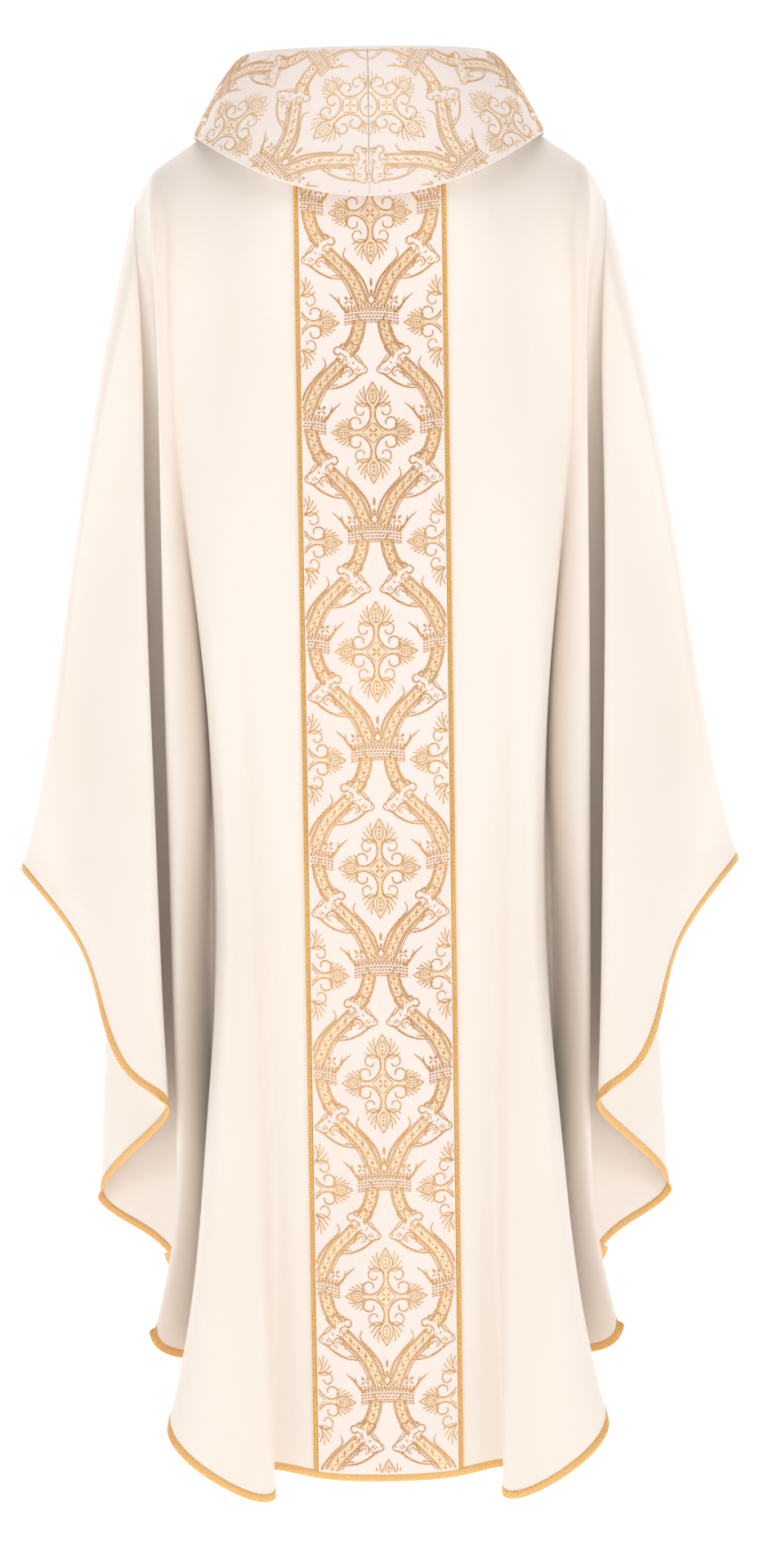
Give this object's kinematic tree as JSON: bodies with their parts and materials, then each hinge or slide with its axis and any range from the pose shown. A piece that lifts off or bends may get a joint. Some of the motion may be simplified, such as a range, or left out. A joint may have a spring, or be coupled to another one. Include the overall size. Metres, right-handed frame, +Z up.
{
  "type": "chasuble",
  "caption": "Full ivory chasuble with a wide brocade roll collar, a brocade orphrey down the back and front, gold braids and a gold bound hem, hanging in soft folds.",
  "frame": {"origin": "centre of the neck opening at the neckline seam, where the garment rests on the wearer's shoulders", "axes": "+Z up, the wearer faces +Y, +X towards the wearer's right; the back of the garment faces -Y"},
  "size_m": [0.6554, 0.3533, 1.2701],
  "materials": {
    "cloth": "smooth matt twill with a faint sheen",
    "brocade": "woven brocade, ivory ground with gold figures",
    "lining": "smooth matt lining",
    "braid": "metallic gold thread",
    "hem_binding": "metallic gold ribbon"
  },
  "bodies": {
    "root": {"back_left_panel": "cloth", "back_left_hem_binding": "hem_binding", "back_left_braid": "braid", "back_right_panel": "cloth", "back_right_hem_binding": "hem_binding", "back_right_braid": "braid", "back_orphrey": "brocade", "front_left_panel": "cloth", "front_left_hem_binding": "hem_binding", "front_left_braid": "braid", "front_right_panel": "cloth", "front_right_hem_binding": "hem_binding", "front_right_braid": "braid", "front_orphrey": "brocade", "collar_left": "brocade", "collar_facing_left": "lining", "collar_right": "brocade", "collar_facing_right": "lining", "neckband": "lining"},
    "left_side": {"back_left_side_fall": "cloth", "back_left_side_hem_binding": "hem_binding", "front_left_side_fall": "cloth", "front_left_side_hem_binding": "hem_binding"},
    "right_side": {"back_right_side_fall": "cloth", "back_right_side_hem_binding": "hem_binding", "front_right_side_fall": "cloth", "front_right_side_hem_binding": "hem_binding"}
  },
  "joints": [
    {"name": "left_side_lift", "type": "hinge", "parent": "root", "child": "left_side", "pos_m": [-0.176, 0, -0.045], "axis": [0, 1, 0], "range_deg": [0, 22]},
    {"name": "right_side_lift", "type": "hinge", "parent": "root", "child": "right_side", "pos_m": [0.176, 0, -0.045], "axis": [0, -1, 0], "range_deg": [0, 22]}
  ]
}
